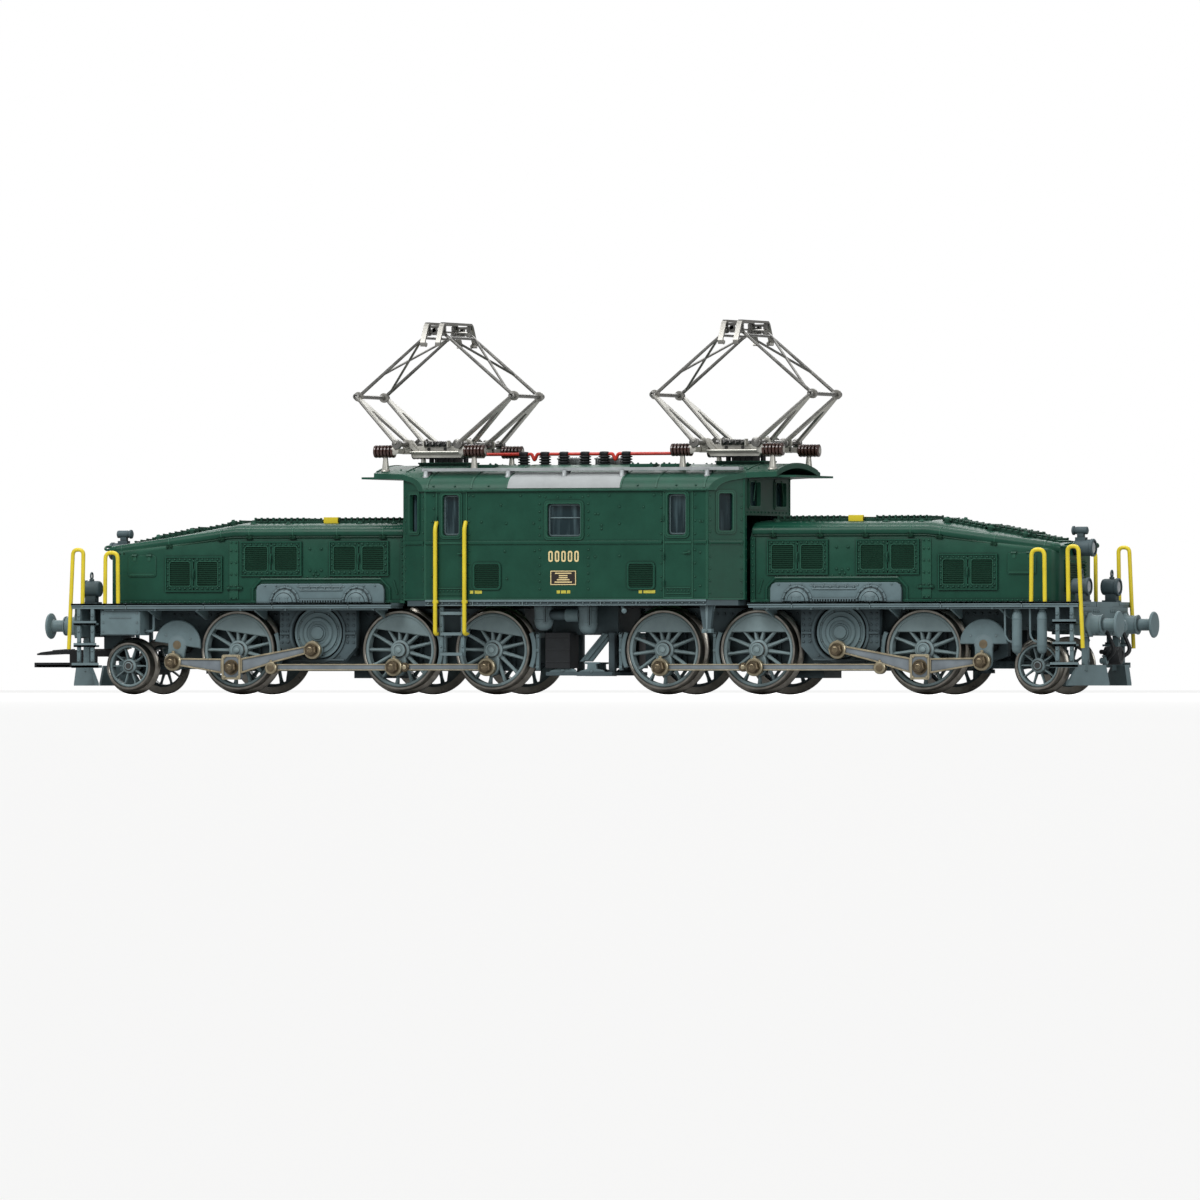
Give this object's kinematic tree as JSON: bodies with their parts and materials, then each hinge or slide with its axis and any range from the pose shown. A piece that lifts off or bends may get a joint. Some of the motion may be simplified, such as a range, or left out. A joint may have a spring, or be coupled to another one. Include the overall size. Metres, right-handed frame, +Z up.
{
  "type": "model electric locomotive",
  "caption": "Scale model of an articulated side-rod electric locomotive: centre cab, long bonnets on swivelling bogies, spoked wheels and diamond pantographs.",
  "frame": {"origin": "track centre line, half-way between the bogies, at the level of the wheel flanges' lowest points (rail top at Z = 0.9 mm)", "axes": "+X along the track towards the end with brake hoses, +Y to the far side, +Z up"},
  "size_m": [0.2296, 0.0352, 0.0724],
  "materials": {
    "green_paint": "satin",
    "grey_plastic": "matt",
    "grey_metal": "matt",
    "wheel_metal": "satin",
    "rod_metal": "tarnished",
    "yellow_wire": "gloss",
    "window": "clear",
    "black_plastic": "matt",
    "pantograph_metal": "satin",
    "insulator_brown": "gloss",
    "red_wire": "satin",
    "silver_paint": "satin",
    "roof_grey": "matt",
    "board_green": "satin",
    "motor_metal": "satin",
    "brass": "satin"
  },
  "bodies": {
    "cab_body": {"cab_shell": "green_paint", "cab_windows": "window", "roof": "green_paint", "roof_walkways": "silver_paint", "roof_equipment": "roof_grey", "roof_busbar": "red_wire", "roof_insulators": "black_plastic", "pantograph_insulators": "insulator_brown", "pantograph_bases": "pantograph_metal", "bridge_frame": "grey_metal", "cab_steps": "grey_plastic", "cab_handrails": "yellow_wire", "circuit_board": "board_green"},
    "bogie_left": {"hood_left": "green_paint", "running_board_left": "grey_plastic", "bogie_frame_left": "grey_metal", "buffers_left": "grey_plastic", "lamps_left": "grey_plastic", "end_handrails_left": "yellow_wire", "brake_gear_left": "grey_plastic"},
    "driver_left_1": {"wheelset_left_1": "wheel_metal"},
    "driver_left_2": {"wheelset_left_2": "wheel_metal"},
    "driver_left_3": {"wheelset_left_3": "wheel_metal"},
    "jackshaft_left_body": {"jackshaft_left": "grey_metal"},
    "blind_shaft_left_body": {"blind_shaft_left": "grey_metal"},
    "rods_left_near_body": {"rods_left_near": "rod_metal"},
    "rods_left_far_body": {"rods_left_far": "rod_metal"},
    "pony_left": {"pony_truck_left": "grey_metal"},
    "carrier_left": {"pony_wheelset_left": "wheel_metal"},
    "coupler_head": {"coupler": "black_plastic"},
    "pantograph_left_lower_rear_body": {"pantograph_left_lower_rear": "pantograph_metal"},
    "pantograph_left_lower_front_body": {"pantograph_left_lower_front": "pantograph_metal"},
    "pantograph_left_upper_rear_body": {"pantograph_left_upper_rear": "pantograph_metal"},
    "pantograph_left_upper_front_body": {"pantograph_left_upper_front": "pantograph_metal"},
    "pantograph_left_head_body": {"pantograph_left_head": "pantograph_metal"},
    "bogie_right": {"hood_right": "green_paint", "running_board_right": "grey_plastic", "bogie_frame_right": "grey_metal", "buffers_right": "grey_plastic", "lamps_right": "grey_plastic", "end_handrails_right": "yellow_wire", "brake_gear_right": "grey_plastic", "brake_hoses": "black_plastic", "motor": "motor_metal"},
    "driver_right_1": {"wheelset_right_1": "wheel_metal"},
    "driver_right_2": {"wheelset_right_2": "wheel_metal"},
    "driver_right_3": {"wheelset_right_3": "wheel_metal"},
    "jackshaft_right_body": {"jackshaft_right": "grey_metal"},
    "blind_shaft_right_body": {"blind_shaft_right": "grey_metal"},
    "rods_right_near_body": {"rods_right_near": "rod_metal"},
    "rods_right_far_body": {"rods_right_far": "rod_metal"},
    "pony_right": {"pony_truck_right": "grey_metal"},
    "carrier_right": {"pony_wheelset_right": "wheel_metal"},
    "motor_rotor": {"motor_shaft": "motor_metal"},
    "idler": {"idler_gear": "brass"},
    "pantograph_right_lower_rear_body": {"pantograph_right_lower_rear": "pantograph_metal"},
    "pantograph_right_lower_front_body": {"pantograph_right_lower_front": "pantograph_metal"},
    "pantograph_right_upper_rear_body": {"pantograph_right_upper_rear": "pantograph_metal"},
    "pantograph_right_upper_front_body": {"pantograph_right_upper_front": "pantograph_metal"},
    "pantograph_right_head_body": {"pantograph_right_head": "pantograph_metal"}
  },
  "joints": [
    {"name": "bogie_left_swivel", "type": "hinge", "parent": "cab_body", "child": "bogie_left", "pos_m": [-0.0355, 0, 0.0177], "axis": [0, 0, 1], "range_deg": [-6, 6]},
    {"name": "driver_left_1_spin", "type": "hinge", "parent": "bogie_left", "child": "driver_left_1", "pos_m": [-0.0714, 0, 0.00865], "axis": [0, 1, 0], "continuous": true},
    {"name": "driver_left_2_spin", "type": "hinge", "parent": "bogie_left", "child": "driver_left_2", "pos_m": [-0.0373, 0, 0.00865], "axis": [0, 1, 0], "continuous": true},
    {"name": "driver_left_3_spin", "type": "hinge", "parent": "bogie_left", "child": "driver_left_3", "pos_m": [-0.0178, 0, 0.00865], "axis": [0, 1, 0], "continuous": true},
    {"name": "jackshaft_left_spin", "type": "hinge", "parent": "bogie_left", "child": "jackshaft_left_body", "pos_m": [-0.0544, 0, 0.012], "axis": [0, 1, 0], "continuous": true},
    {"name": "blind_shaft_left_spin", "type": "hinge", "parent": "bogie_left", "child": "blind_shaft_left_body", "pos_m": [-0.0839, 0, 0.0097], "axis": [0, 1, 0], "continuous": true},
    {"name": "rods_left_near_swing", "type": "hinge", "parent": "driver_left_2", "child": "rods_left_near_body", "pos_m": [-0.03777, -0.01175, 0.00533], "axis": [0, 1, 0], "continuous": true},
    {"name": "rods_left_far_swing", "type": "hinge", "parent": "driver_left_2", "child": "rods_left_far_body", "pos_m": [-0.04062, 0.01175, 0.00912], "axis": [0, 1, 0], "continuous": true},
    {"name": "pony_left_swing", "type": "hinge", "parent": "bogie_left", "child": "pony_left", "pos_m": [-0.0805, 0, 0.0057], "axis": [0, 0, 1], "range_deg": [-6, 6]},
    {"name": "carrier_left_spin", "type": "hinge", "parent": "pony_left", "child": "carrier_left", "pos_m": [-0.0946, 0, 0.0056], "axis": [0, 1, 0], "continuous": true},
    {"name": "coupler_swing", "type": "hinge", "parent": "bogie_left", "child": "coupler_head", "pos_m": [-0.1014, 0, 0.0081], "axis": [0, 0, 1], "range_deg": [-10, 10]},
    {"name": "pantograph_left_fold", "type": "hinge", "parent": "cab_body", "child": "pantograph_left_lower_rear_body", "pos_m": [-0.0374, 0, 0.0487], "axis": [0, -1, 0], "range_deg": [0, 34], "stiffness_Nm_per_rad": 0.004, "springref_deg": -20.05},
    {"name": "pantograph_left_lower_front_turn", "type": "hinge", "parent": "cab_body", "child": "pantograph_left_lower_front_body", "pos_m": [-0.0246, 0, 0.0487], "axis": [0, 1, 0], "range_deg": [0, 34]},
    {"name": "pantograph_left_upper_rear_turn", "type": "hinge", "parent": "pantograph_left_lower_rear_body", "child": "pantograph_left_upper_rear_body", "pos_m": [-0.0473, 0, 0.05805], "axis": [0, 1, 0], "range_deg": [0, 56]},
    {"name": "pantograph_left_upper_front_turn", "type": "hinge", "parent": "pantograph_left_lower_front_body", "child": "pantograph_left_upper_front_body", "pos_m": [-0.0147, 0, 0.05805], "axis": [0, -1, 0], "range_deg": [0, 56]},
    {"name": "pantograph_left_head_turn", "type": "hinge", "parent": "pantograph_left_upper_rear_body", "child": "pantograph_left_head_body", "pos_m": [-0.0325, 0, 0.0704], "axis": [0, -1, 0], "range_deg": [0, 22]},
    {"name": "bogie_right_swivel", "type": "hinge", "parent": "cab_body", "child": "bogie_right", "pos_m": [0.0355, 0, 0.0177], "axis": [0, 0, 1], "range_deg": [-6, 6]},
    {"name": "driver_right_1_spin", "type": "hinge", "parent": "bogie_right", "child": "driver_right_1", "pos_m": [0.0714, 0, 0.00865], "axis": [0, 1, 0], "continuous": true},
    {"name": "driver_right_2_spin", "type": "hinge", "parent": "bogie_right", "child": "driver_right_2", "pos_m": [0.0373, 0, 0.00865], "axis": [0, 1, 0], "continuous": true},
    {"name": "driver_right_3_spin", "type": "hinge", "parent": "bogie_right", "child": "driver_right_3", "pos_m": [0.0178, 0, 0.00865], "axis": [0, 1, 0], "continuous": true},
    {"name": "jackshaft_right_spin", "type": "hinge", "parent": "bogie_right", "child": "jackshaft_right_body", "pos_m": [0.0544, 0, 0.012], "axis": [0, 1, 0], "continuous": true},
    {"name": "blind_shaft_right_spin", "type": "hinge", "parent": "bogie_right", "child": "blind_shaft_right_body", "pos_m": [0.0839, 0, 0.0097], "axis": [0, 1, 0], "continuous": true},
    {"name": "rods_right_near_swing", "type": "hinge", "parent": "driver_right_2", "child": "rods_right_near_body", "pos_m": [0.0373, -0.01175, 0.0053], "axis": [0, 1, 0], "continuous": true},
    {"name": "rods_right_far_swing", "type": "hinge", "parent": "driver_right_2", "child": "rods_right_far_body", "pos_m": [0.03395, 0.01175, 0.00865], "axis": [0, 1, 0], "continuous": true},
    {"name": "pony_right_swing", "type": "hinge", "parent": "bogie_right", "child": "pony_right", "pos_m": [0.0805, 0, 0.0057], "axis": [0, 0, 1], "range_deg": [-6, 6]},
    {"name": "carrier_right_spin", "type": "hinge", "parent": "pony_right", "child": "carrier_right", "pos_m": [0.0946, 0, 0.0056], "axis": [0, 1, 0], "continuous": true},
    {"name": "idler_spin", "type": "hinge", "parent": "bogie_right", "child": "idler", "pos_m": [0.06014, 0, 0.0184], "axis": [0, 1, 0], "continuous": true},
    {"name": "motor_spin", "type": "hinge", "parent": "bogie_right", "child": "motor_rotor", "pos_m": [0.045, 0, 0.025], "axis": [1, 0, 0], "continuous": true},
    {"name": "pantograph_right_fold", "type": "hinge", "parent": "cab_body", "child": "pantograph_right_lower_rear_body", "pos_m": [0.0246, 0, 0.0487], "axis": [0, -1, 0], "range_deg": [0, 34], "stiffness_Nm_per_rad": 0.004, "springref_deg": -20.05},
    {"name": "pantograph_right_lower_front_turn", "type": "hinge", "parent": "cab_body", "child": "pantograph_right_lower_front_body", "pos_m": [0.0374, 0, 0.0487], "axis": [0, 1, 0], "range_deg": [0, 34]},
    {"name": "pantograph_right_upper_rear_turn", "type": "hinge", "parent": "pantograph_right_lower_rear_body", "child": "pantograph_right_upper_rear_body", "pos_m": [0.0147, 0, 0.05805], "axis": [0, 1, 0], "range_deg": [0, 56]},
    {"name": "pantograph_right_upper_front_turn", "type": "hinge", "parent": "pantograph_right_lower_front_body", "child": "pantograph_right_upper_front_body", "pos_m": [0.0473, 0, 0.05805], "axis": [0, -1, 0], "range_deg": [0, 56]},
    {"name": "pantograph_right_head_turn", "type": "hinge", "parent": "pantograph_right_upper_rear_body", "child": "pantograph_right_head_body", "pos_m": [0.0295, 0, 0.0704], "axis": [0, -1, 0], "range_deg": [0, 22]}
  ],
  "couplings": [
    {"joint": "driver_left_1_spin", "follows": "driver_left_2_spin", "ratio": 1},
    {"joint": "driver_left_3_spin", "follows": "driver_left_2_spin", "ratio": 1},
    {"joint": "jackshaft_left_spin", "follows": "driver_left_2_spin", "ratio": 1},
    {"joint": "blind_shaft_left_spin", "follows": "driver_left_2_spin", "ratio": 1},
    {"joint": "rods_left_near_swing", "follows": "driver_left_2_spin", "ratio": -1},
    {"joint": "rods_left_far_swing", "follows": "driver_left_2_spin", "ratio": -1},
    {"joint": "pantograph_left_lower_front_turn", "follows": "pantograph_left_fold", "ratio": 1},
    {"joint": "pantograph_left_upper_rear_turn", "follows": "pantograph_left_fold", "ratio": 1.644},
    {"joint": "pantograph_left_upper_front_turn", "follows": "pantograph_left_fold", "ratio": 1.644},
    {"joint": "pantograph_left_head_turn", "follows": "pantograph_left_fold", "ratio": 0.644},
    {"joint": "driver_right_1_spin", "follows": "driver_right_2_spin", "ratio": 1},
    {"joint": "driver_right_3_spin", "follows": "driver_right_2_spin", "ratio": 1},
    {"joint": "jackshaft_right_spin", "follows": "driver_right_2_spin", "ratio": 1},
    {"joint": "blind_shaft_right_spin", "follows": "driver_right_2_spin", "ratio": 1},
    {"joint": "rods_right_near_swing", "follows": "driver_right_2_spin", "ratio": -1},
    {"joint": "rods_right_far_swing", "follows": "driver_right_2_spin", "ratio": -1},
    {"joint": "idler_spin", "follows": "driver_right_2_spin", "ratio": -0.86957},
    {"joint": "motor_spin", "follows": "driver_right_2_spin", "ratio": 5},
    {"joint": "pantograph_right_lower_front_turn", "follows": "pantograph_right_fold", "ratio": 1},
    {"joint": "pantograph_right_upper_rear_turn", "follows": "pantograph_right_fold", "ratio": 1.644},
    {"joint": "pantograph_right_upper_front_turn", "follows": "pantograph_right_fold", "ratio": 1.644},
    {"joint": "pantograph_right_head_turn", "follows": "pantograph_right_fold", "ratio": 0.644}
  ]
}
